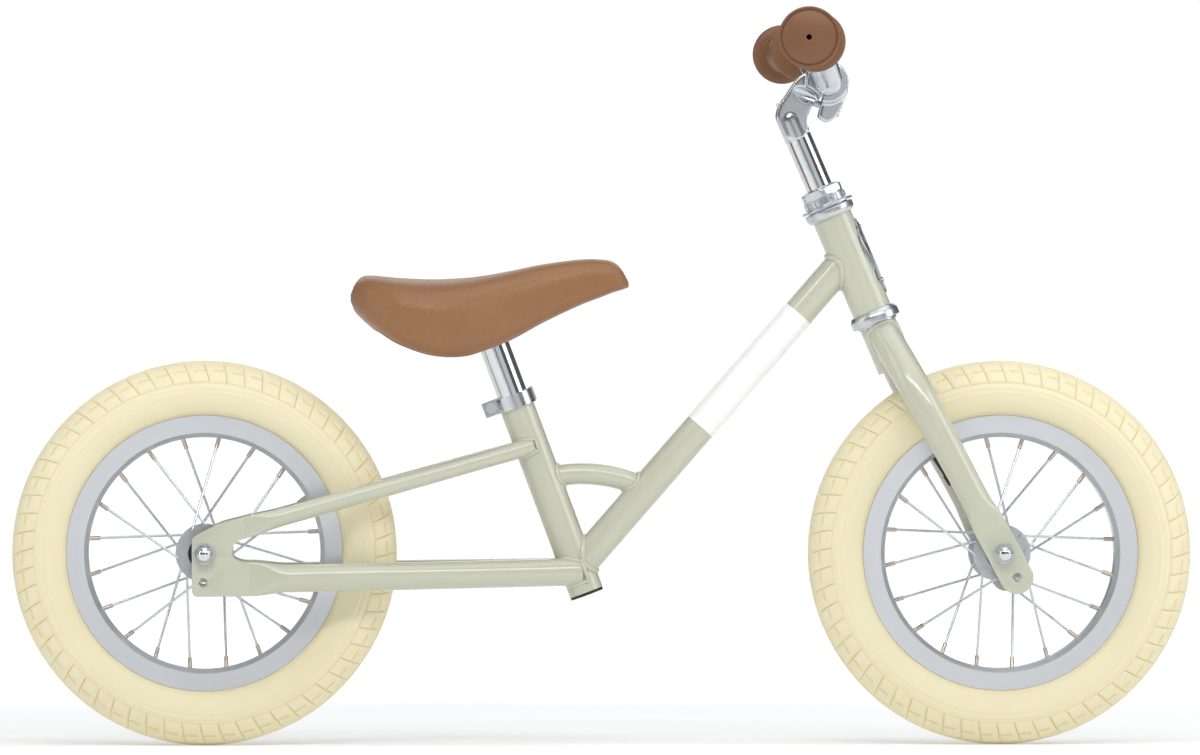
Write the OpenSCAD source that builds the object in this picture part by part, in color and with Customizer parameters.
// Balance bike for a small child: steel frame and fork, two spoked wheels with
// air tyres, a quill stem with a riser bar, and a padded saddle on a post.
// Millimetres. +X points forwards, +Y to the rider's left and +Z up. The origin
// lies on the ground, midway between the two axles.

/* [Overall] */
// Distance between the two axles
wheelbase = 636; // [600:1:760]
// Outside diameter of the tyres
wheel_d = 307; // [270:1:340]
// Backward lean of the steering axis, in degrees
head_lean = 23.1; // [19:0.1:26]
// Backward lean of the seat tube, in degrees
seat_lean = 20.5; // [17:0.1:24]
// Distance of the front axle ahead of the steering axis
fork_offset = 18; // [10:0.5:28]

/* [Frame tubes] */
// Wall of the frame tubes
tube_wall = 1.6; // [1:0.1:2]
// Length of the head tube
head_tube_len = 81.5; // [70:0.5:110]
// Outside diameter of the down tube
down_tube_d = 25.4; // [20:0.1:30]
// Distance up the seat tube at which the down tube's axis starts
down_tube_low = 20.4; // [16:0.1:26]
// Distance up the head tube at which the down tube's axis ends
down_tube_high = 48; // [40:0.5:54]
// Length of the seat tube below its collar
seat_tube_len = 157.6; // [140:0.5:190]
// Distance of the seat tube's lower end ahead of the rear axle
seat_tube_reach = 305; // [285:1:360]
// Distance of the seat tube's lower end below the axles
seat_tube_drop = 31.5; // [25:0.5:38]
// Outside diameter of the curved brace tube
brace_d = 17; // [12:0.5:20]
// Bend radius of the brace tube
brace_bend = 116; // [90:1:150]
// Distance up the seat tube at which the brace starts
brace_seat = 96.7; // [85:0.5:115]
// Distance along the down tube at which the brace ends
brace_down = 84.1; // [75:0.5:105]
// Outside diameter of the chain stays
chain_stay_d = 22.2; // [18:0.1:24]
// Distance up the seat tube at which the chain stays' axes end
chain_stay_high = 17.4; // [15:0.1:22]
// Outside diameter of the seat stays
seat_stay_d = 14; // [10:0.5:18]
// Distance up the seat tube at which the seat stays' axes end
seat_stay_high = 124.7; // [118:0.1:140]
// Thickness of the rear dropout plates
dropout_t = 5; // [4:0.5:7]
// Diameter of the threaded eyelet in each rear dropout
dropout_eyelet_d = 6.8; // [5:0.1:8]

/* [Fork] */
// Wall of the steerer tube, which takes the quill in its bore
steerer_wall = 2.1; // [1.6:0.1:3]
// How much thicker the wall is in the crown, the steerer's lower end
crown_extra = 2.3; // [1.5:0.1:4]
// Length of the crown
crown_len = 38; // [34:0.5:46]
// Gap between the crown and the tyre
crown_gap = 16; // [12:0.5:24]
// Diameter of the fork blades at the top
blade_d = 25.4; // [20:0.1:27]
// Diameter of the fork blades where they are flattened
blade_low_d = 22.2; // [18:0.1:26]
// Forward rake of the blades from the steering axis, in degrees
blade_rake = 5; // [3:0.1:7]
// Thickness of the flattened blade tips
blade_tip_t = 5.5; // [4:0.5:7]
// Width of the flattened blade tips
blade_tip_w = 26.6; // [22:0.2:30]
// Diameter of the eyelet in each blade tip
blade_eyelet_d = 7.2; // [5:0.1:8]

/* [Headset] */
// Wall of the headset cups round their ball tracks
cup_wall = 2; // [1.2:0.1:3]
// Wall of the cups' skirts, which are pressed into the head tube
cup_skirt_t = 1.1; // [0.8:0.1:2]
// Height of the lower cup
lower_cup_h = 10; // [9:0.5:14]
// Height of the upper cup
upper_cup_h = 8; // [7.5:0.5:12]
// Diameter of the headset balls
headset_ball_d = 4; // [3:0.5:4.5]

/* [Wheels] */
// Width of the tyres
tyre_w = 51; // [46:0.5:56]
// How far a tyre's round section would reach below the edge of its rim
tyre_seat = 7.5; // [6:0.1:9]
// Depth of the rims, from the flange to the spoke bed
rim_depth = 17.5; // [15:0.5:20]
// Outside width of the rims
rim_w = 32; // [30:0.5:34]
// Diameter of the spokes
spoke_d = 2; // [1.6:0.1:2.3]
// Diameter of the hub flanges
flange_d = 46; // [44:0.5:52]
// Distance between the two hub flanges
flange_gap = 54; // [48:0.5:58]
// Diameter of the axles
axle_d = 8; // [7:0.1:9]
// Distance between the rear dropout plates
rear_spacing = 104; // [98:0.5:112]
// Distance between the flattened fork tips
front_spacing = 96; // [92:0.5:104]
// Diameter of the balls in the hubs
hub_ball_d = 4.8; // [4:0.1:5.2]

/* [Stem and handlebar] */
// Diameter of the quill
quill_d = 21.1; // [19:0.1:22]
// Distance from the locknut's top to the stem's bar clamp, along the quill
stem_rise = 75; // [70:0.5:90]
// Forward reach from the quill to the bar clamp
stem_reach = 38.2; // [34:0.2:46]
// Depth of the quill below the locknut's top
quill_depth = 62; // [55:1:80]
// Diameter of the handlebar
bar_d = 22.2; // [20:0.1:24]
// Wall of the handlebar
bar_wall = 1.8; // [1.2:0.1:2.5]
// Overall width of the bar with its grips
bar_w = 402; // [380:1:480]
// Rise of the grips above the clamp
bar_rise = 29; // [15:0.5:45]
// Backward sweep of the grips, in degrees
bar_sweep = 6; // [0:0.5:10]
// Length of the grips
grip_len = 103; // [95:1:118]
// Diameter of the grip barrel
grip_d = 31; // [28:0.5:36]
// Diameter of the round guards at both ends of the grips
grip_flange_d = 48.5; // [44:0.5:56]

/* [Saddle] */
// Diameter of the seat post
post_d = 24; // [22:0.1:25]
// Bare length of the post between the seat tube and the saddle
post_rise = 49; // [47:0.5:58]
// Length of the post inside the seat tube
post_depth = 95; // [80:1:110]
// Length of the saddle
saddle_len = 222; // [200:1:250]
// Width of the saddle at its widest
saddle_w = 134; // [110:1:150]
// Thickness of the saddle's padding above its pan
pad_t = 20; // [16:0.5:24]

/* [Hidden] */
$fn = 96;

// Colours
paint = "#c8cab6";
silver = "#c9cccf";
chrome = "#dfe1e3";
alloy = "#d3d5d7";
cream = "#e8dbb1";
tan_leather = "#a06a45";
black = "#1d1d1f";
nickel = "#a39584";
white = "#f4f4f2";

// Fits: a running clearance, and the gap left between curved faces
run_gap = 0.05;
skin_gap = 0.2;
// Gaps between the tyre and the chain stays, the seat stays and the fork blades
chain_stay_gap = 6.4;
seat_stay_gap = 7.5;
blade_gap = 7.8;
// A short length that carries a cut past a face
past = 1;
// How far a straight runs into its bend, and how far the bend stands proud of it
bend_lap = 1;
bend_proud = 0.05;

// Plan of the side view: points are [x, z]
wheel_r = wheel_d / 2;
rim_d = wheel_d - 2 * (tyre_w - tyre_seat);
rear_hub = [-wheelbase / 2, wheel_r];
front_hub = [wheelbase / 2, wheel_r];
steer_foot = across(front_hub, head_lean, -fork_offset);
seat_foot = [rear_hub.x + seat_tube_reach, wheel_r - seat_tube_drop];

// Steerer, head tube and headset, each fitted round the one inside it
steerer_d = quill_d + 2 * run_gap + 2 * steerer_wall;
crown_d = steerer_d + 2 * crown_extra;
cup_bore = steerer_d + 1;
head_bore = cup_bore + 2 * cup_skirt_t;
head_tube_d = head_bore + 2 * tube_wall;
ball_ring_r = steerer_d / 2 + headset_ball_d / 2 + 0.3;
headset_ball_count = floor(2 * PI * ball_ring_r / (headset_ball_d + 0.7));
race_d = 2 * ball_ring_r + 3;
cup_track_d = 2 * ball_ring_r + headset_ball_d + 2;
cup_d = cup_track_d + 2 * cup_wall;
locknut_hex_d = race_d + 3;
locknut_top_d = steerer_d + 4.6;

// Heights along the steering axis, measured from steer_foot
crown_low = sqrt(pow(wheel_r + crown_gap, 2) - pow(fork_offset, 2));
crown_top = crown_low + crown_len;
race_h = 2.5;
cup_lip = 1.5;
head_low = crown_top + cup_lip + lower_cup_h;
head_top = head_low + head_tube_len;
upper_cup_top = head_top + upper_cup_h;
cone_low = upper_cup_top + 0.8;
cone_flange_h = 3;
cone_body_h = 5.5;
cone_top = cone_low + cone_flange_h + cone_body_h;
lock_washer_h = 1.2;
locknut_h = 7.5;
stack_top = cone_top + lock_washer_h + locknut_h;
steerer_top = stack_top - 1.5;
skirt_h = 8;

// Down tube and brace
down_a = on_axis(seat_foot, seat_lean, down_tube_low);
down_b = on_axis(steer_foot, head_lean, head_low + down_tube_high);
down_angle = atan2(down_b.y - down_a.y, down_b.x - down_a.x);
down_len = norm(down_b - down_a);
band_from = 150 / 331.4 * down_len;
band_to = 270 / 331.4 * down_len;
band_t = 0.2;
brace_a = on_axis(seat_foot, seat_lean, brace_seat);
brace_b = down_a + brace_down * [cos(down_angle), sin(down_angle)];

// Seat tube, post and collar; heights measured from seat_foot
seat_tube_d = post_d + 2 * run_gap + 3.5;
collar_h = 11;
collar_d = seat_tube_d + 4.4;
tube_in_collar = 9.5;
collar_bolt_back = collar_d / 2 + 4;
collar_bolt_high = 7;
collar_bolt_d = 5;
lug_w = 15;
post_top = seat_tube_len + post_rise;

// Rear stays
dropout_mid = (rear_spacing + dropout_t) / 2;
stay_bend = 60;
chain_stay_spread = tyre_w / 2 + chain_stay_gap + chain_stay_d / 2;
seat_stay_spread = tyre_w / 2 + seat_stay_gap + seat_stay_d / 2;
flat_len = 30;
// A faceted blend ends this far inside the tube it joins, and this much below its skin
blend_in = 1;
blend_step = 0.1;

// Fork blades; distances measured up the blade from the front axle
blade_tip_mid = (front_spacing + blade_tip_t) / 2;
blade_elbow = wheel_r - 3.5;
blade_spread = tyre_w / 2 + blade_gap + blade_d / 2;
blade_round = 45;
blade_flat = 24;
blade_toe = -21.5;

// Wheels; radii from the axle and offsets along it
rim_bed = rim_d / 2 - rim_depth;
rim_wall = 2.3;
section_r = tyre_w / 2;
tyre_ring = wheel_r - section_r;
tyre_wall = 3.4;
spoke_count = 20;
spoke_step = 360 / spoke_count;
spoke_turn = 36;
hole_ring_r = flange_d / 2 - 2.5;
elbow_d = spoke_d + 0.2;
flange_t = 2.4;
nipple_d = spoke_d + 1.4;
nipple_len = 8.5;
nipple_stagger = 2;
rear_phase = 64.8;
front_phase = 60.5;
rear_valve_turn = -16.2;
front_valve_turn = 123.5;
valve_d = 6.4;
valve_len = 26;
hub_half = 33;
pocket_d = 22;
pocket_depth = 7;
hub_ring_r = 8;
hub_ball_count = floor(2 * PI * hub_ring_r / (hub_ball_d + 0.5));
hub_ball_at = hub_half - pocket_depth + hub_ball_d / 2 + run_gap;
barrel_d = 24;
boss_d = 29;
locknut_t = 4;
washer_d = 17;
washer_t = 1.5;
cap_nut_d = 14.8;
cap_dome_d = 12.2;
cap_hex_h = 5.5;
axle_stand = 7;

// Stem and bar, along and across the steering axis
clamp_at = [stem_reach, stack_top + stem_rise];
clamp_d = bar_d + 12.8;
clamp_w = 32;
stem_neck = 34;
quill_bore = 9.4;
bolt_d = 8;
wedge_slope = 30;
wedge_len = 26;
bar_centre = steer_point(clamp_at);
bar_straight = 34;
grip_at = bar_w / 2 - grip_len;
bar_bend = 34;
flange_w = 7;

// Saddle: stations along its length, as a share of the length, then the top and
// the underside above the bracket's seat, then the half width as a share
SADDLE = [
    [0.000, 45, 39, 0.20], [0.015, 53, 31, 0.42], [0.040, 59, 25, 0.59],
    [0.075, 60, 18, 0.72], [0.130, 59, 8, 0.87], [0.180, 58, 1, 0.96], [0.290, 57, -8, 1.00],
    [0.400, 58, -9, 0.90], [0.480, 60, -3, 0.75], [0.580, 64, 7, 0.57],
    [0.690, 69, 21, 0.44], [0.830, 73, 36, 0.37], [0.900, 73, 42, 0.35],
    [0.945, 71, 46, 0.32], [0.975, 65, 48, 0.26], [1.000, 55, 50, 0.13]];
saddle_tail = 116;
saddle_rings = 34;
saddle_sides = 28;
// Rounded section of the saddle: 1 is an ellipse, and less is squarer
saddle_top_power = 0.8;
saddle_low_power = 0.45;
pan_t = 3;
pan_inset = 13;
bracket_d = post_d + 5;
saddle_bolt_d = 6;
// Heights above the top of the post's bare length: the bracket's foot, the bolt and the post's end
bracket_low = 5;
saddle_bolt_at = 11;
post_end = 15;

// Point d up an axis that leans back, from the side-view point p
function on_axis(p, lean, d) = [p.x - d * sin(lean), p.y + d * cos(lean)];
// Point d ahead of such an axis, square to it
function across(p, lean, d) = [p.x + d * cos(lean), p.y + d * sin(lean)];
// Side-view point to 3-D
function v3(p, y = 0) = [p.x, y, p.y];
// Side-view point from the steering frame's [across, along]
function steer_point(q) = on_axis(across(steer_foot, head_lean, q.x), head_lean, q.y);
function unit(v) = v / norm(v);
function polar(r, a) = [r * cos(a), r * sin(a)];
// Centre of the arc of radius r from a to b, on the lower side of the chord
function arc_centre(a, b, r) = let (m = (a + b) / 2, c = b - a, h = norm(c) / 2)
    m + sqrt(r * r - h * h) * [c.y, -c.x] / norm(c);
// Point d up a fork blade from the axle, y out from the wheel's plane
function on_blade(d, y) = [fork_offset - d * sin(blade_rake), y, d * cos(blade_rake)];

module both_sides() {
    children();
    mirror([0, 1, 0]) children();
}

module at(p, y = 0) {
    translate(v3(p, y)) children();
}

// Frame whose Z runs up the steering axis and whose X is square to it, forwards
module steer_frame() {
    at(steer_foot) rotate([0, -head_lean, 0]) children();
}

// Frame whose Z runs up the seat tube from its lower end
module seat_frame() {
    at(seat_foot) rotate([0, -seat_lean, 0]) children();
}

// Frame whose XY plane is the wheel's, and whose Z points to the right side
module wheel_frame(hub) {
    at(hub) rotate([90, 0, 0]) children();
}

// Plate of thickness t whose outline lies in XZ, from y outwards
module side_plate(y, t) {
    translate([0, y + t, 0]) rotate([90, 0, 0]) linear_extrude(t) children();
}

module cone_between(p, q, r1, r2) {
    d = q - p;
    translate(p) rotate([0, acos(d.z / norm(d)), atan2(d.y, d.x)])
        cylinder(h = norm(d), r1 = r1, r2 = r2);
}

// Bend at p from direction u to direction v
module elbow(p, u, v, r, bend) {
    turn = acos(u * v);
    side = unit(v - u * (u * v));
    c = p - u * bend * tan(turn / 2) + side * bend;
    z = cross(-side, u);
    multmatrix([[-side.x, u.x, z.x, c.x], [-side.y, u.y, z.y, c.y], [-side.z, u.z, z.z, c.z]])
        rotate_extrude(angle = turn) translate([bend, 0]) circle(r);
}

// Round bar along pts with bends, its last stretch tapering to r_end. Each straight
// runs a little way into its bends, which stand a hair proud of it. Both open ends
// are carried on by extend.
module tube_run(pts, r, bend, r_end, extend = 0) {
    n = len(pts);
    dirs = [for (i = [0:n - 2]) unit(pts[i + 1] - pts[i])];
    trims = [for (i = [0:n - 1])
        i == 0 || i == n - 1 ? -extend : bend * tan(acos(dirs[i - 1] * dirs[i]) / 2) - bend_lap];
    for (i = [0:n - 2])
        cone_between(pts[i] + dirs[i] * trims[i], pts[i + 1] - dirs[i] * trims[i + 1],
            r, i == n - 2 ? r_end : r);
    for (i = [1:1:n - 2]) elbow(pts[i], dirs[i - 1], dirs[i], r + bend_proud, bend);
}

module ring(r_out, r_in, h) {
    difference() {
        cylinder(h = h, r = r_out);
        translate([0, 0, -past]) cylinder(h = h + 2 * past, r = r_in);
    }
}

module ball_ring(count, ring_r, d) {
    for (i = [0:count - 1]) rotate([0, 0, 360 * i / count])
        translate([ring_r, 0, 0]) sphere(d = d, $fn = 32);
}

// ---------- frame ----------

module seat_tube_solid(extra = 0) {
    seat_frame() cylinder(h = seat_tube_len + tube_in_collar, d = seat_tube_d + extra);
}

module head_tube_solid() {
    steer_frame() translate([0, 0, head_low]) cylinder(h = head_tube_len, d = head_tube_d);
}

module down_tube_solid(d = down_tube_d, from = 0, to = down_len) {
    at(down_a) rotate([0, 90 - down_angle, 0]) translate([0, 0, from])
        cylinder(h = to - from, d = d);
}

module head_tube() {
    color(paint) steer_frame() translate([0, 0, head_low])
        ring(head_tube_d / 2, head_bore / 2, head_tube_len);
}

module down_tube() {
    color(paint) difference() {
        down_tube_solid();
        down_tube_solid(down_tube_d - 2 * tube_wall);
        seat_tube_solid();
        head_tube_solid();
    }
}

module seat_tube() {
    color(paint) difference() {
        seat_tube_solid();
        seat_frame() translate([0, 0, -past])
            cylinder(h = seat_tube_len + tube_in_collar + 2 * past, d = post_d + 2 * run_gap);
        seat_frame() translate([-seat_tube_d, -1, seat_tube_len - 12])
            cube([seat_tube_d, 2, 12 + tube_in_collar + past]);
    }
}

module brace_tube() {
    c = arc_centre(brace_a, brace_b, brace_bend);
    from = atan2(brace_b.y - c.y, brace_b.x - c.x);
    to = atan2(brace_a.y - c.y, brace_a.x - c.x);
    color(paint) difference() {
        wheel_frame(c) rotate([0, 0, from]) rotate_extrude(angle = to - from)
            translate([brace_bend, 0]) difference() {
                circle(d = brace_d);
                circle(d = brace_d - 2 * tube_wall);
            }
        seat_tube_solid();
        down_tube_solid();
    }
}

// Flattened end of a stay: the rectangle of a dropout finger blends into the tube
module stay_flat(tall, d, tube_y) {
    hull() {
        translate([0, dropout_mid - dropout_t / 2, -tall / 2]) cube([0.02, dropout_t, tall]);
        translate([flat_len + blend_in, tube_y, 0]) rotate([0, 90, 0])
            cylinder(h = 0.02, d = d - 2 * blend_step, $fn = 32);
    }
}

// The chain stays' axis in side view, from the finger's end to the seat tube
chain_finger = rear_hub + [33, -20];
chain_top = on_axis(seat_foot, seat_lean, chain_stay_high);
chain_dir = unit(chain_top - chain_finger);
chain_tilt = atan2(chain_dir.y, chain_dir.x);
chain_tall = 27;
chain_y = dropout_mid - 5.5;
seat_finger = rear_hub + [29, 20];
seat_top = on_axis(seat_foot, seat_lean, seat_stay_high);
seat_dir = unit(seat_top - seat_finger);
seat_tilt = atan2(seat_dir.y, seat_dir.x);
seat_tall = 17;
seat_y = dropout_mid - 3;

// One stay: flattened end, straight past the tyre, then in to the seat tube
module stay(finger, top, dir, tilt, tall, d, y_out, y_spread, y_in) {
    clear = (wheel_r + 14) * dir;
    from = v3(finger + flat_len * dir, y_out);
    turn = v3(rear_hub + clear + (finger - rear_hub)
        - ((finger - rear_hub) * dir) * dir, y_spread);
    at(finger) rotate([0, -tilt, 0]) stay_flat(tall, d, y_out);
    tube_run([from, turn, v3(top, y_in)], d / 2, stay_bend, d / 2);
}

module stay_bore(finger, top, dir, d, y_out, y_spread, y_in) {
    clear = (wheel_r + 14) * dir;
    from = v3(finger + (flat_len + 4) * dir, y_out);
    turn = v3(rear_hub + clear + (finger - rear_hub)
        - ((finger - rear_hub) * dir) * dir, y_spread);
    tube_run([from, turn, v3(top, y_in)], d / 2 - tube_wall, stay_bend, d / 2 - tube_wall, past);
}

chain_in = 4.5;
seat_in = seat_stay_d / 2 + 0.5;

module chain_stays() {
    color(paint) both_sides() difference() {
        stay(chain_finger, chain_top, chain_dir, chain_tilt, chain_tall, chain_stay_d,
            chain_y, chain_stay_spread, chain_in);
        stay_bore(chain_finger, chain_top, chain_dir, chain_stay_d,
            chain_y, chain_stay_spread, chain_in);
        seat_tube_solid();
        down_tube_solid();
        translate([-wheelbase / 2, -wheelbase + 0.2, 0]) cube(wheelbase);
    }
}

module seat_stays() {
    color(paint) both_sides() difference() {
        stay(seat_finger, seat_top, seat_dir, seat_tilt, seat_tall, seat_stay_d,
            seat_y, seat_stay_spread, seat_in);
        stay_bore(seat_finger, seat_top, seat_dir, seat_stay_d,
            seat_y, seat_stay_spread, seat_in);
        seat_tube_solid();
    }
}

// Outline of a dropout plate, with the rear axle at its origin
module dropout_outline() {
    corner = 5;
    difference() {
        union() {
            polygon([[-9.8, -29], [-9.8, 12.7], [0, 18.5], [14, 25], [29, 28],
                [29, 5], [33, -5], [33, -33.5], [-4.8, -34]]);
            translate([-9.8 + corner, -34 + corner]) circle(corner);
            translate(chain_finger - rear_hub) rotate(chain_tilt)
                translate([-20, -chain_tall / 2]) square([20, chain_tall]);
            translate(seat_finger - rear_hub) rotate(seat_tilt)
                translate([-20, -seat_tall / 2]) square([20, seat_tall]);
        }
        circle(d = axle_d + 2 * run_gap);
        translate([-1, -22.5]) circle(d = dropout_eyelet_d);
        translate([28.5, 2.5]) circle(5.6);
        translate([28.5, -3.1]) square([12, 11.2]);
    }
}

module rear_dropouts() {
    color(paint) both_sides() at(rear_hub) difference() {
        side_plate(rear_spacing / 2, dropout_t) dropout_outline();
        translate([chain_finger.x - rear_hub.x, 0, chain_finger.y - rear_hub.y])
            rotate([0, -chain_tilt, 0])
                translate([0, 0, -chain_tall]) cube([50, rear_spacing, 2 * chain_tall]);
        translate([seat_finger.x - rear_hub.x, 0, seat_finger.y - rear_hub.y])
            rotate([0, -seat_tilt, 0])
                translate([0, 0, -seat_tall / 2 - 4]) cube([50, rear_spacing, 2 * seat_tall]);
    }
}

// Front view of the badge, a plain shield with a rounded crest: one half's outline
BADGE = [[5, 28.5], [8, 24.5], [8.5, 20], [11, 16], [12.5, 9], [12.5, 0], [10.5, -8],
    [8, -14], [9, -24], [5, -31]];

module badge_outline() {
    n = len(BADGE);
    polygon(concat([[0, 30]], BADGE, [[0, -35]],
        [for (i = [n - 1:-1:0]) [-BADGE[i].x, BADGE[i].y]]));
}

badge_mid = head_low + 44;
badge_proud = 2.1;

module head_badge() {
    color(nickel) steer_frame() translate([0, 0, badge_mid]) difference() {
        intersection() {
            translate([0, 0, -40]) rotate([0, 0, 180])
                ring(head_tube_d / 2 + badge_proud, head_tube_d / 2, 80);
            rotate([90, 0, 90]) linear_extrude(head_tube_d) badge_outline();
        }
        for (z = [22, -24]) translate([0, 0, z]) rotate([0, 90, 0]) cylinder(h = 30, d = 2.4);
    }
}

module badge_rivets() {
    color(chrome) steer_frame() translate([0, 0, badge_mid]) for (z = [22, -24])
        translate([0, 0, z]) rotate([0, 90, 0]) difference() {
            union() {
                cylinder(h = head_tube_d / 2 + badge_proud, d = 2.4);
                translate([0, 0, head_tube_d / 2 + badge_proud]) cylinder(h = 0.8, d1 = 4, d2 = 2.6);
            }
            rotate([0, 90, 0]) cylinder(h = 20, d = head_tube_d, center = true);
        }
}

module name_band() {
    color(white) difference() {
        down_tube_solid(down_tube_d + 2 * band_t, band_from, band_to);
        down_tube_solid(down_tube_d, band_from - past, band_to + past);
    }
}

// A pressed cup: skirt in the head tube, body outside, ball track open outwards
module cup(h, track) {
    difference() {
        union() {
            cylinder(h = h, d = cup_d);
            translate([0, 0, -skirt_h]) cylinder(h = skirt_h, d = head_bore);
        }
        translate([0, 0, -skirt_h - past]) cylinder(h = h + skirt_h + 2 * past, d = cup_bore);
        translate([0, 0, h - track]) cylinder(h = track + past, d = cup_track_d);
    }
}

lower_track = lower_cup_h - headset_ball_d - (race_h - cup_lip) - 2 * run_gap;
lower_ball_at = crown_top + race_h + headset_ball_d / 2 + run_gap;
upper_track_h = 6;
upper_ball_at = upper_cup_top - upper_track_h + headset_ball_d / 2 + run_gap;

module upper_headset_cup() {
    color(silver) steer_frame() translate([0, 0, head_top]) cup(upper_cup_h, upper_track_h);
}

module lower_headset_cup() {
    color(silver) steer_frame() translate([0, 0, head_low]) mirror([0, 0, 1])
        cup(lower_cup_h, lower_cup_h - lower_track);
}

plug_proud = 2.3;

module seat_tube_plug() {
    color(black) seat_frame() {
        translate([0, 0, -plug_proud]) cylinder(h = plug_proud, d = seat_tube_d - 0.6);
        cylinder(h = 12, d = post_d + 2 * run_gap);
    }
}

module seat_collar() {
    color(alloy) seat_frame() translate([0, 0, seat_tube_len]) difference() {
        union() {
            cylinder(h = collar_h, d = collar_d);
            translate([-collar_bolt_back - 6, -lug_w / 2, 0.5])
                cube([collar_bolt_back + 6, lug_w, collar_h + 1]);
            translate([collar_d / 2 - 3, -3, 1]) cube([4, 6, collar_h]);
        }
        translate([0, 0, -past]) cylinder(h = tube_in_collar + past, d = seat_tube_d);
        cylinder(h = 2 * collar_h, d = post_d + 4 * run_gap);
        translate([-3 * collar_bolt_back, -1.2, -past])
            cube([3 * collar_bolt_back, 2.4, 2 * collar_h]);
        translate([-collar_bolt_back, 0, collar_bolt_high]) rotate([90, 0, 0])
            cylinder(h = 2 * lug_w, d = collar_bolt_d, center = true);
    }
}

module seat_collar_bolt() {
    color(chrome) seat_frame()
        translate([-collar_bolt_back, 0, seat_tube_len + collar_bolt_high])
            rotate([90, 0, 0]) difference() {
                union() {
                    translate([0, 0, -lug_w / 2 - 4]) cylinder(h = lug_w + 4, d = collar_bolt_d);
                    translate([0, 0, lug_w / 2]) cylinder(h = 4.5, d = 8.8);
                    translate([0, 0, -lug_w / 2 - 4]) cylinder(h = 4, d = 8.8);
                }
                translate([0, 0, lug_w / 2 + 1.5]) cylinder(h = 5, d = 5, $fn = 6);
            }
}

// ---------- axles ----------

module axle(spacing, plate) {
    reach = spacing / 2 + plate + washer_t + axle_stand;
    color(silver) rotate([90, 0, 0]) cylinder(h = 2 * reach, d = axle_d, center = true);
}

// Cones and their locknuts, one of each at both ends of an axle
module cones(spacing) {
    cone_from = hub_ball_at - hub_ball_d / 2;
    shoulder = hub_ball_at + hub_ball_d / 2 + run_gap;
    lock_from = spacing / 2 - locknut_t;
    color(silver) both_sides() rotate([-90, 0, 0]) difference() {
        union() {
            translate([0, 0, cone_from]) cylinder(h = shoulder - cone_from,
                r = hub_ring_r - hub_ball_d / 2 - run_gap);
            translate([0, 0, shoulder]) cylinder(h = lock_from - shoulder, d = 15);
            translate([0, 0, lock_from]) cylinder(h = locknut_t, d = 16, $fn = 6);
        }
        cylinder(h = spacing, d = axle_d);
    }
}

module axle_washers(spacing, plate) {
    color(silver) both_sides() rotate([-90, 0, 0])
        translate([0, 0, spacing / 2 + plate]) ring(washer_d / 2, axle_d / 2, washer_t);
}

module cap_nuts(spacing, plate) {
    color(chrome) both_sides() rotate([-90, 0, 0])
        translate([0, 0, spacing / 2 + plate + washer_t]) difference() {
            union() {
                cylinder(h = cap_hex_h, d = cap_nut_d, $fn = 6);
                cylinder(h = cap_hex_h + 1, d = cap_dome_d);
                translate([0, 0, cap_hex_h + 1]) sphere(d = cap_dome_d);
            }
            translate([0, 0, -cap_dome_d]) cylinder(h = cap_dome_d, d = 2 * cap_dome_d);
            translate([0, 0, -past]) cylinder(h = axle_stand + past, d = axle_d);
        }
}

module rear_axle() at(rear_hub) axle(rear_spacing, dropout_t);
module rear_cones() at(rear_hub) cones(rear_spacing);
module rear_axle_washers() at(rear_hub) axle_washers(rear_spacing, dropout_t);
module rear_cap_nuts() at(rear_hub) cap_nuts(rear_spacing, dropout_t);
module front_axle() at(front_hub) axle(front_spacing, blade_tip_t);
module front_cones() at(front_hub) cones(front_spacing);
module front_axle_washers() at(front_hub) axle_washers(front_spacing, blade_tip_t);
module front_cap_nuts() at(front_hub) cap_nuts(front_spacing, blade_tip_t);

// ---------- wheels, each in its wheel_frame ----------

// The rim's section: radius, then offset from the wheel's plane
module rim_section() {
    top = rim_d / 2;
    edge = rim_w / 2;
    outside = [[rim_bed, 10], [rim_bed + 3.5, edge - 0.6], [top, edge]];
    inside = [[top, edge - 2], [top - 8.5, edge - 2.6], [top - 12, edge - 3.5],
        [rim_bed + rim_wall, 8.5]];
    side = concat(outside, inside);
    polygon(concat(side, [for (i = [len(side) - 1:-1:0]) [side[i].x, -side[i].y]]));
}

// Half of the tyre's section: a round casing on a bead that sits in the rim
module tyre_half() {
    inner = section_r - tyre_wall;
    low = rim_d / 2 + 1.5;
    wide = sqrt(pow(section_r, 2) - pow(tyre_ring - low, 2));
    edge = rim_w / 2;
    intersection() {
        translate([low, 0]) square([wheel_r, section_r + past]);
        difference() {
            translate([tyre_ring, 0]) circle(section_r);
            translate([tyre_ring, 0]) circle(inner);
        }
    }
    difference() {
        polygon([[low, wide], [low - 1.2, wide - 3], [low - 1.2, edge - 2.15],
            [rim_d / 2 - 8, edge - 2.8], [rim_d / 2 - 8, edge - 7],
            [rim_d / 2 - 3, edge - 6], [low, edge - 5]]);
        translate([tyre_ring, 0]) circle(inner);
    }
}

module tyre() {
    color(cream) rotate_extrude($fn = 180) {
        tyre_half();
        mirror([0, 1]) tyre_half();
    }
}

module valve_hole(turn, d) {
    rotate([0, 0, turn]) rotate([0, 90, 0]) cylinder(h = wheel_r - section_r, d = d);
}

module inner_tube(turn) {
    tube_r = section_r - tyre_wall - skin_gap;
    color(black) difference() {
        rotate_extrude($fn = 180) translate([tyre_ring, 0]) difference() {
            circle(tube_r);
            circle(tube_r - 1.2);
        }
        valve_hole(turn, valve_d);
    }
}

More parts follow.
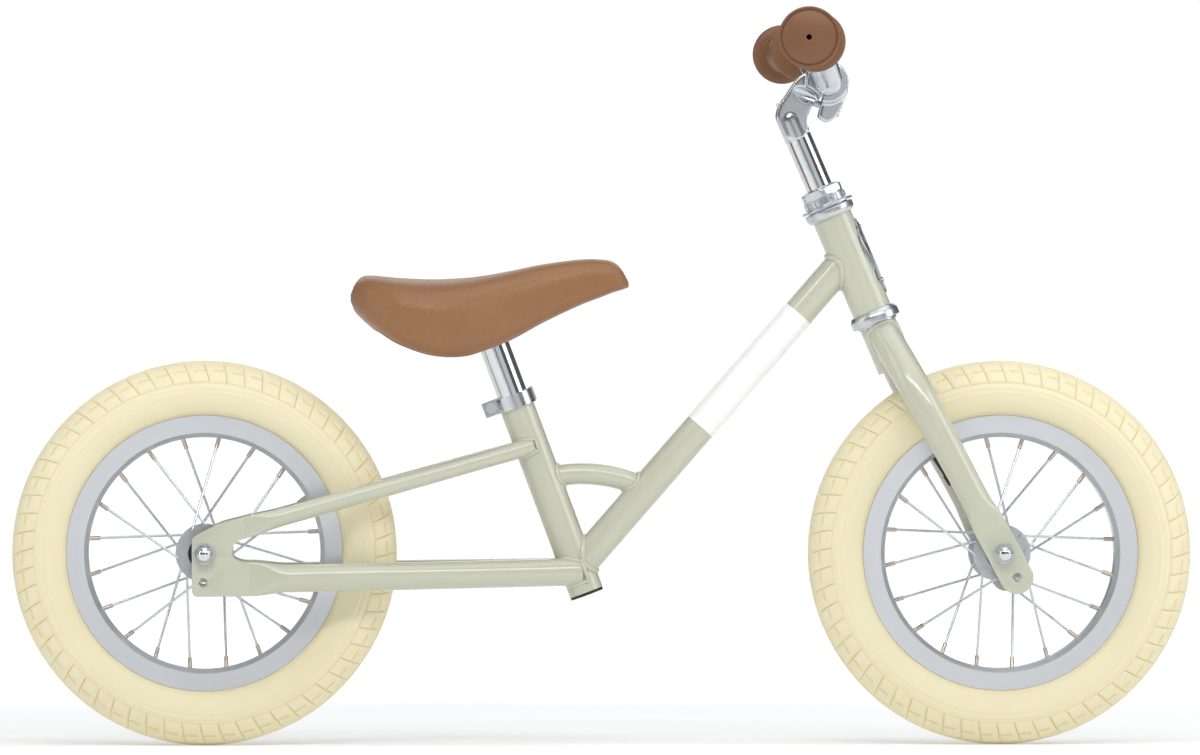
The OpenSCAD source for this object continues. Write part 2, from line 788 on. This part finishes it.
// Ends of spoke i: [hub end, rim end, lay], where lay is 1 outside its flange
function spoke_ends(i, phase) = let (
        kind = i % 4,
        a = phase + spoke_step * i,
        h = a + (kind < 2 ? spoke_turn : -spoke_turn),
        side = kind % 2 == 0 ? -1 : 1,
        lay = kind < 2 ? flange_t / 2 + spoke_d / 2 + 1.4 : -flange_t / 2 - spoke_d / 2 - 0.1)
    [[each polar(hole_ring_r, h), side * (flange_gap / 2 + lay)],
        [each polar(rim_bed, a), side * nipple_stagger], sign(lay) * side];

module spoke(i, phase) {
    e = spoke_ends(i, phase);
    along = unit(e[1] - e[0]);
    head = e[2] * (flange_t + 2.6 + spoke_d / 2);
    cone_between(e[0], e[1] + along * rim_wall, spoke_d / 2, spoke_d / 2);
    cone_between(e[0] + [0, 0, sign(head) * 1.2], e[0] - [0, 0, head], elbow_d / 2, elbow_d / 2);
    translate(e[0] - [0, 0, head]) cylinder(h = 1, d = 3.6, center = true);
}

module spokes(phase) {
    color(silver) for (i = [0:spoke_count - 1]) spoke(i, phase);
}

module nipple(i, phase) {
    e = spoke_ends(i, phase);
    along = unit(e[1] - e[0]);
    difference() {
        union() {
            cone_between(e[1] - along * nipple_len, e[1] + along * (rim_wall + 2),
                nipple_d / 2, nipple_d / 2);
            cone_between(e[1] + along * (rim_wall + 1.6), e[1] + along * (rim_wall + 3.4), 2.5, 2.5);
        }
        cone_between(e[0], e[1] + along * rim_wall, spoke_d / 2, spoke_d / 2);
    }
}

module nipples(phase) {
    color(nickel) for (i = [0:spoke_count - 1]) nipple(i, phase);
}

module rim(phase, turn) {
    color(alloy) difference() {
        rotate_extrude($fn = 180) rim_section();
        for (i = [0:spoke_count - 1]) {
            e = spoke_ends(i, phase);
            along = unit(e[1] - e[0]);
            cone_between(e[1] - along * 4, e[1] + along * 6,
                nipple_d / 2 + run_gap, nipple_d / 2 + run_gap);
        }
        valve_hole(turn, valve_d + 2 * skin_gap);
    }
}

module hub_shell(phase) {
    color(silver) difference() {
        union() {
            cylinder(h = flange_gap, d = barrel_d, center = true);
            for (s = [-1, 1]) {
                translate([0, 0, s * flange_gap / 2])
                    cylinder(h = flange_t, d = flange_d, center = true);
                translate([0, 0, s * (hub_half - 5)])
                    cylinder(h = 10, d = boss_d, center = true);
            }
        }
        cylinder(h = 3 * hub_half, d = axle_d + 5, center = true);
        for (s = [-1, 1]) translate([0, 0, s * hub_half])
            cylinder(h = 2 * pocket_depth, d = pocket_d, center = true);
        for (i = [0:spoke_count - 1]) rotate([0, 0, phase + spoke_step * i])
            translate([hole_ring_r, 0, i % 2 == 0 ? -2 * hub_half : 0])
                cylinder(h = 2 * hub_half, d = spoke_d + 0.6);
    }
}

module hub_balls() {
    color(chrome) for (s = [-1, 1]) translate([0, 0, s * hub_ball_at])
        ball_ring(hub_ball_count, hub_ring_r, hub_ball_d);
}

module dust_caps() {
    color(black) for (s = [0, 1]) mirror([0, 0, s]) translate([0, 0, hub_half]) {
        ring(boss_d / 2 - 1.5, 8, 1);
        translate([0, 0, -1.2]) ring(pocket_d / 2, 8, 1.2);
    }
}

module valve(turn) {
    outer = tyre_ring - section_r + tyre_wall + skin_gap + 1.2;
    color(black) rotate([0, 0, turn]) rotate([0, 90, 0]) {
        translate([0, 0, rim_bed - valve_len]) cylinder(h = outer - rim_bed + valve_len, d = valve_d);
        translate([0, 0, rim_bed - valve_len]) cylinder(h = 9, d = valve_d + 2);
    }
}

module rear_tyre() wheel_frame(rear_hub) tyre();
module rear_inner_tube() wheel_frame(rear_hub) inner_tube(rear_valve_turn);
module rear_rim() wheel_frame(rear_hub) rim(rear_phase, rear_valve_turn);
module rear_spokes() wheel_frame(rear_hub) spokes(rear_phase);
module rear_nipples() wheel_frame(rear_hub) nipples(rear_phase);
module rear_hub_shell() wheel_frame(rear_hub) hub_shell(rear_phase);
module rear_hub_balls() wheel_frame(rear_hub) hub_balls();
module rear_dust_caps() wheel_frame(rear_hub) dust_caps();
module rear_valve() wheel_frame(rear_hub) valve(rear_valve_turn);
module front_tyre() wheel_frame(front_hub) tyre();
module front_inner_tube() wheel_frame(front_hub) inner_tube(front_valve_turn);
module front_rim() wheel_frame(front_hub) rim(front_phase, front_valve_turn);
module front_spokes() wheel_frame(front_hub) spokes(front_phase);
module front_nipples() wheel_frame(front_hub) nipples(front_phase);
module front_hub_shell() wheel_frame(front_hub) hub_shell(front_phase);
module front_hub_balls() wheel_frame(front_hub) hub_balls();
module front_dust_caps() wheel_frame(front_hub) dust_caps();
module front_valve() wheel_frame(front_hub) valve(front_valve_turn);

// ---------- fork and headset ----------

module crown_solid() {
    translate([0, 0, crown_low]) cylinder(h = crown_len, d = crown_d);
}

module steerer_tube() {
    color(paint) steer_frame() difference() {
        union() {
            crown_solid();
            translate([0, 0, crown_low]) cylinder(h = steerer_top - crown_low, d = steerer_d);
        }
        translate([0, 0, crown_low - past])
            cylinder(h = steerer_top - crown_low + 2 * past, d = quill_d + 2 * run_gap);
    }
}

blade_start = crown_top - 1.8;

// One blade: out from the crown, an elbow, down past the tyre, and a flat tip
module blade() {
    difference() {
        union() {
            tube_run([on_blade(blade_start, -1.5), on_blade(blade_elbow, blade_spread),
                on_blade(blade_round, blade_tip_mid)], blade_d / 2, 34, blade_low_d / 2);
            hull() {
                translate([fork_offset, 0, 0]) rotate([0, -blade_rake, 0])
                    translate([blend_step - blade_tip_w / 2,
                        blade_tip_mid - blade_tip_t / 2 + blend_step, blade_flat - blend_in])
                        cube([blade_tip_w - 2 * blend_step, blade_tip_t - 2 * blend_step, 0.02]);
                translate(on_blade(blade_round + blend_in, blade_tip_mid))
                    rotate([0, -blade_rake, 0])
                        cylinder(h = 0.02, d = blade_low_d - 2 * blend_step, $fn = 32);
            }
            translate([fork_offset, 0, 0]) rotate([0, -blade_rake, 0])
                side_plate(front_spacing / 2, blade_tip_t) {
                    translate([-blade_tip_w / 2, blade_toe])
                        square([blade_tip_w, blade_flat - blade_toe]);
                    translate([0, blade_toe]) circle(d = blade_tip_w);
                }
        }
        translate([0, 0, crown_low - 20]) cylinder(h = crown_len + 40, d = crown_d);
        translate([fork_offset, 0, 0]) rotate([90, 0, 0])
            cylinder(h = 2 * front_spacing, d = axle_d + 2 * run_gap, center = true);
        translate(on_blade(blade_toe, 0)) rotate([90, 0, 0])
            cylinder(h = 2 * front_spacing, d = blade_eyelet_d, center = true);
    }
}

module fork_blades() {
    color(paint) steer_frame() both_sides() blade();
}

module crown_race() {
    color(silver) steer_frame() translate([0, 0, crown_top]) ring(race_d / 2, steerer_d / 2, race_h);
}

module headset_balls() {
    color(chrome) steer_frame() for (z = [lower_ball_at, upper_ball_at])
        translate([0, 0, z]) ball_ring(headset_ball_count, ball_ring_r, headset_ball_d);
}

module adjusting_cone() {
    nose = upper_ball_at + headset_ball_d / 2;
    color(silver) steer_frame() difference() {
        union() {
            translate([0, 0, nose]) cylinder(h = cone_low - nose, d = race_d);
            translate([0, 0, cone_low]) cylinder(h = cone_flange_h, d = cup_d + 3);
            translate([0, 0, cone_low + cone_flange_h]) cylinder(h = cone_body_h, d = race_d + 2);
        }
        translate([0, 0, head_top]) cylinder(h = 40, d = steerer_d);
    }
}

module lock_washer() {
    color(silver) steer_frame() translate([0, 0, cone_top])
        ring(race_d / 2, steerer_d / 2, lock_washer_h);
}

module headset_locknut() {
    color(silver) steer_frame() translate([0, 0, cone_top + lock_washer_h]) difference() {
        union() {
            cylinder(h = locknut_h - 2, d = locknut_hex_d, $fn = 6);
            cylinder(h = locknut_h, d = locknut_top_d);
        }
        translate([0, 0, -past]) cylinder(h = locknut_h - 1.5 + past, d = steerer_d);
        cylinder(h = 2 * locknut_h, d = quill_d + 1);
    }
}

// ---------- stem ----------

// Cylinder across the stem at the bar clamp
module bar_clamp(d, w) {
    translate([clamp_at.x, 0, clamp_at.y]) rotate([90, 0, 0]) cylinder(h = w, d = d, center = true);
}

// The pinch bolt's head, and the direction in which its axis leaves the clamp's lobe
pinch_head = clamp_at + [2, -27];
pinch_lean = 42;
casting_d = quill_d + 1;
// Where the expander bolt's head sits in the casting
expander_seat = clamp_at.y - 6;
expander_head_d = quill_bore + 3;

// Side view of the stem's arm, from its sleeve on the quill to the clamp
module stem_arm() {
    edge = casting_d / 2 - 1.5;
    low = clamp_at.y - stem_neck + 3;
    polygon([[-edge, low], [-edge, clamp_at.y - 7], [0, clamp_at.y + 1],
        [clamp_at.x - 17, clamp_at.y + 14], [clamp_at.x - 4, clamp_at.y + 14],
        [clamp_at.x, clamp_at.y - 12], [clamp_at.x - 12, clamp_at.y - 10],
        [clamp_at.x - 18.5, clamp_at.y - 13.5], [edge, clamp_at.y - 23], [edge, low]]);
}

// Side view of the clamp's front lobe, which the pinch bolt draws in
module stem_lobe() {
    polygon([clamp_at + [16, -4], clamp_at + [3, -22], clamp_at + [-7, -30],
        clamp_at + [-13, -30], clamp_at + [-18, -22], clamp_at + [-9, -10], clamp_at]);
}

module pinch_axis() {
    translate([pinch_head.x, 0, pinch_head.y]) rotate([0, 90 + pinch_lean, 0]) children();
}

module quill_stem() {
    color(alloy) steer_frame() difference() {
        union() {
            translate([0, 0, stack_top - quill_depth])
                cylinder(h = quill_depth + stem_rise - stem_neck + 5, d = quill_d);
            translate([0, 0, clamp_at.y - stem_neck]) cylinder(h = stem_neck - 5, d = casting_d);
            bar_clamp(clamp_d, clamp_w);
            side_plate(-9, 18) stem_arm();
            side_plate(-9, 18) stem_lobe();
        }
        bar_clamp(bar_d + 2 * run_gap, 2 * clamp_w);
        translate([clamp_at.x, 0, clamp_at.y]) rotate([0, pinch_lean, 0])
            translate([-1.1, -clamp_w, -45]) cube([2.2, 2 * clamp_w, 45]);
        translate([0, 0, stack_top - quill_depth - past])
            cylinder(h = 200, d = quill_bore);
        translate([0, 0, expander_seat]) cylinder(h = 40, d = expander_head_d + 2 * skin_gap);
        translate([0, 0, stack_top - quill_depth]) rotate([0, wedge_slope, 0])
            translate([-40, -40, -80]) cube(80);
        pinch_axis() translate([0, 0, -40]) cylinder(h = 60, d = 6);
        pinch_axis() cylinder(h = 20, d = 14);
    }
}

module expander_bolt() {
    top = expander_seat;
    low = stack_top - quill_depth - 20;
    color(chrome) steer_frame() difference() {
        union() {
            translate([0, 0, low]) cylinder(h = top - low, d = bolt_d);
            translate([0, 0, top]) cylinder(h = 6, d = expander_head_d);
        }
        translate([0, 0, top + 2]) cylinder(h = 6, d = 6.9, $fn = 6);
    }
}

module expander_wedge() {
    color(silver) steer_frame() difference() {
        translate([0, 0, stack_top - quill_depth - wedge_len]) cylinder(h = wedge_len + 8, d = quill_d - 0.4);
        translate([0, 0, stack_top - quill_depth]) rotate([0, wedge_slope, 0])
            translate([-40, -40, 0]) cube(80);
        translate([0, 0, stack_top - quill_depth - 20]) cylinder(h = 60, d = bolt_d);
    }
}

module bar_clamp_bolt() {
    color(chrome) steer_frame() pinch_axis() difference() {
        union() {
            translate([0, 0, -26]) cylinder(h = 26, d = 6);
            cylinder(h = 5, d = 9.5);
        }
        translate([0, 0, 2]) cylinder(h = 6, d = 5, $fn = 6);
    }
}

// ---------- handlebar ----------

grip_x = bar_centre.x - 13.5;
bar_points = [
    v3(bar_centre, 0),
    v3(bar_centre, bar_straight),
    [grip_x, grip_at - 10, bar_centre.y + bar_rise],
    [grip_x - (grip_len + 8) * tan(bar_sweep), bar_w / 2 - 2, bar_centre.y + bar_rise]];

module handlebar() {
    half = [for (i = [1:3]) bar_points[i]];
    path = concat([for (i = [2:-1:0]) [half[i].x, -half[i].y, half[i].z]], half);
    color(chrome) difference() {
        tube_run(path, bar_d / 2, bar_bend, bar_d / 2);
        tube_run(path, bar_d / 2 - bar_wall, bar_bend, bar_d / 2 - bar_wall, past);
    }
}

module grip() {
    inner = bar_points[2];
    end = bar_points[3];
    dir = unit(end - inner);
    low = end - dir * (grip_len - 2);
    color(tan_leather) difference() {
        union() {
            cone_between(low, end + dir * 2, grip_d / 2, grip_d / 2);
            cone_between(low, low + dir * flange_w, grip_flange_d / 2, grip_flange_d / 2);
            cone_between(end - dir * (flange_w - 2), end + dir * 2, grip_flange_d / 2, grip_flange_d / 2);
        }
        cone_between(low - dir, end, bar_d / 2, bar_d / 2);
        cone_between(end - dir, end + dir * 3, 2, 2);
    }
}

module grip_left() grip();
module grip_right() mirror([0, 1, 0]) grip();

// ---------- saddle ----------

saddle_seat = on_axis(seat_foot, seat_lean, post_top);

// Column c of the SADDLE table at share u of the length, as a smooth curve
function slope(i, c) = let (a = max(i - 1, 0), b = min(i + 1, len(SADDLE) - 1))
    (SADDLE[b][c] - SADDLE[a][c]) / (SADDLE[b][0] - SADDLE[a][0]);
function station(u) = max([for (i = [0:len(SADDLE) - 2]) if (SADDLE[i][0] <= u) i]);
function saddle_at(u, c) = let (
        i = station(u),
        w = SADDLE[i + 1][0] - SADDLE[i][0],
        t = (u - SADDLE[i][0]) / w)
    (2 * pow(t, 3) - 3 * pow(t, 2) + 1) * SADDLE[i][c]
        + (pow(t, 3) - 2 * pow(t, 2) + t) * w * slope(i, c)
        + (3 * pow(t, 2) - 2 * pow(t, 3)) * SADDLE[i + 1][c]
        + (pow(t, 3) - pow(t, 2)) * w * slope(i + 1, c);

function power(v, e) = sign(v) * pow(abs(v), e);
// One ring of the saddle: inset from the sides, top lowered, underside at low
function saddle_ring(u, inset, drop, low) = let (
        x = saddle_seat.x - saddle_tail + u * saddle_len,
        top = saddle_at(u, 1) - drop,
        under = is_undef(low) ? saddle_at(u, 2) : min(low, top - 2),
        half = max(saddle_at(u, 3) * saddle_w / 2 - inset, 1),
        mid = (top + under) / 2)
    [for (j = [0:saddle_sides - 1])
        let (a = 360 * j / saddle_sides, e = sin(a) < 0 ? saddle_low_power : saddle_top_power)
        [x, half * power(cos(a), e), saddle_seat.y + mid + (top - mid) * power(sin(a), e)]];

module saddle_loft(u0, u1, inset = 0, drop = 0, low) {
    rings = [for (k = [0:saddle_rings])
        saddle_ring(u0 + (u1 - u0) * (1 - cos(180 * k / saddle_rings)) / 2, inset, drop, low)];
    n = saddle_sides;
    polyhedron(
        points = [for (r = rings) each r],
        faces = [
            [for (j = [0:n - 1]) j],
            for (k = [0:saddle_rings - 1]) for (j = [0:n - 1])
                [k * n + j, (k + 1) * n + j, (k + 1) * n + (j + 1) % n, k * n + (j + 1) % n],
            [for (j = [n - 1:-1:0]) saddle_rings * n + j]]);
}

module saddle_cover() {
    color(tan_leather) difference() {
        saddle_loft(0, 1);
        saddle_loft(0.06, 0.93, pan_inset, pad_t, -40);
    }
}

// Everything above the pan's underside, right across the saddle
module above_pan() {
    low = [for (k = [0:12]) let (u = k / 12)
        [saddle_seat.x - saddle_tail + u * saddle_len,
            saddle_seat.y + saddle_at(min(u, 0.99), 1) - pad_t - skin_gap - pan_t]];
    side_plate(-saddle_w, 2 * saddle_w)
        polygon(concat(low, [[low[12].x, saddle_seat.y + 150], [low[0].x, saddle_seat.y + 150]]));
}

module saddle_pan() {
    color(black) intersection() {
        saddle_loft(0.065, 0.925, pan_inset + skin_gap, pad_t + skin_gap, -40);
        above_pan();
    }
}

// The bolt that clamps the bracket on the post
module saddle_bolt_solid(d) {
    seat_frame() translate([0, 0, post_top + saddle_bolt_at]) rotate([90, 0, 0])
        cylinder(h = bracket_d + 6, d = d, center = true);
}

module seat_post() {
    color(chrome) difference() {
        seat_frame() translate([0, 0, seat_tube_len - post_depth])
            ring(post_d / 2, post_d / 2 - 2, post_depth + post_rise + post_end);
        saddle_bolt_solid(saddle_bolt_d + 2 * run_gap);
    }
}

module saddle_bracket() {
    color(black) difference() {
        seat_frame() translate([0, 0, post_top + bracket_low]) cylinder(h = 60, d = bracket_d);
        seat_frame() translate([0, 0, post_top + bracket_low - past])
            cylinder(h = post_end - bracket_low + past, d = post_d);
        saddle_bolt_solid(saddle_bolt_d + 2 * run_gap);
        above_pan();
    }
}

module saddle_bolts() {
    color(silver) saddle_bolt_solid(saddle_bolt_d);
}

head_tube();
down_tube();
seat_tube();
brace_tube();
chain_stays();
seat_stays();
rear_dropouts();
head_badge();
badge_rivets();
name_band();
upper_headset_cup();
lower_headset_cup();
seat_tube_plug();
seat_collar();
seat_collar_bolt();
rear_axle();
rear_cones();
rear_axle_washers();
rear_cap_nuts();
rear_tyre();
rear_inner_tube();
rear_rim();
rear_spokes();
rear_nipples();
rear_hub_shell();
rear_hub_balls();
rear_dust_caps();
rear_valve();
steerer_tube();
fork_blades();
crown_race();
headset_balls();
adjusting_cone();
lock_washer();
headset_locknut();
front_axle();
front_cones();
front_axle_washers();
front_cap_nuts();
front_tyre();
front_inner_tube();
front_rim();
front_spokes();
front_nipples();
front_hub_shell();
front_hub_balls();
front_dust_caps();
front_valve();
quill_stem();
expander_bolt();
expander_wedge();
bar_clamp_bolt();
handlebar();
grip_left();
grip_right();
seat_post();
saddle_bracket();
saddle_pan();
saddle_cover();
saddle_bolts();
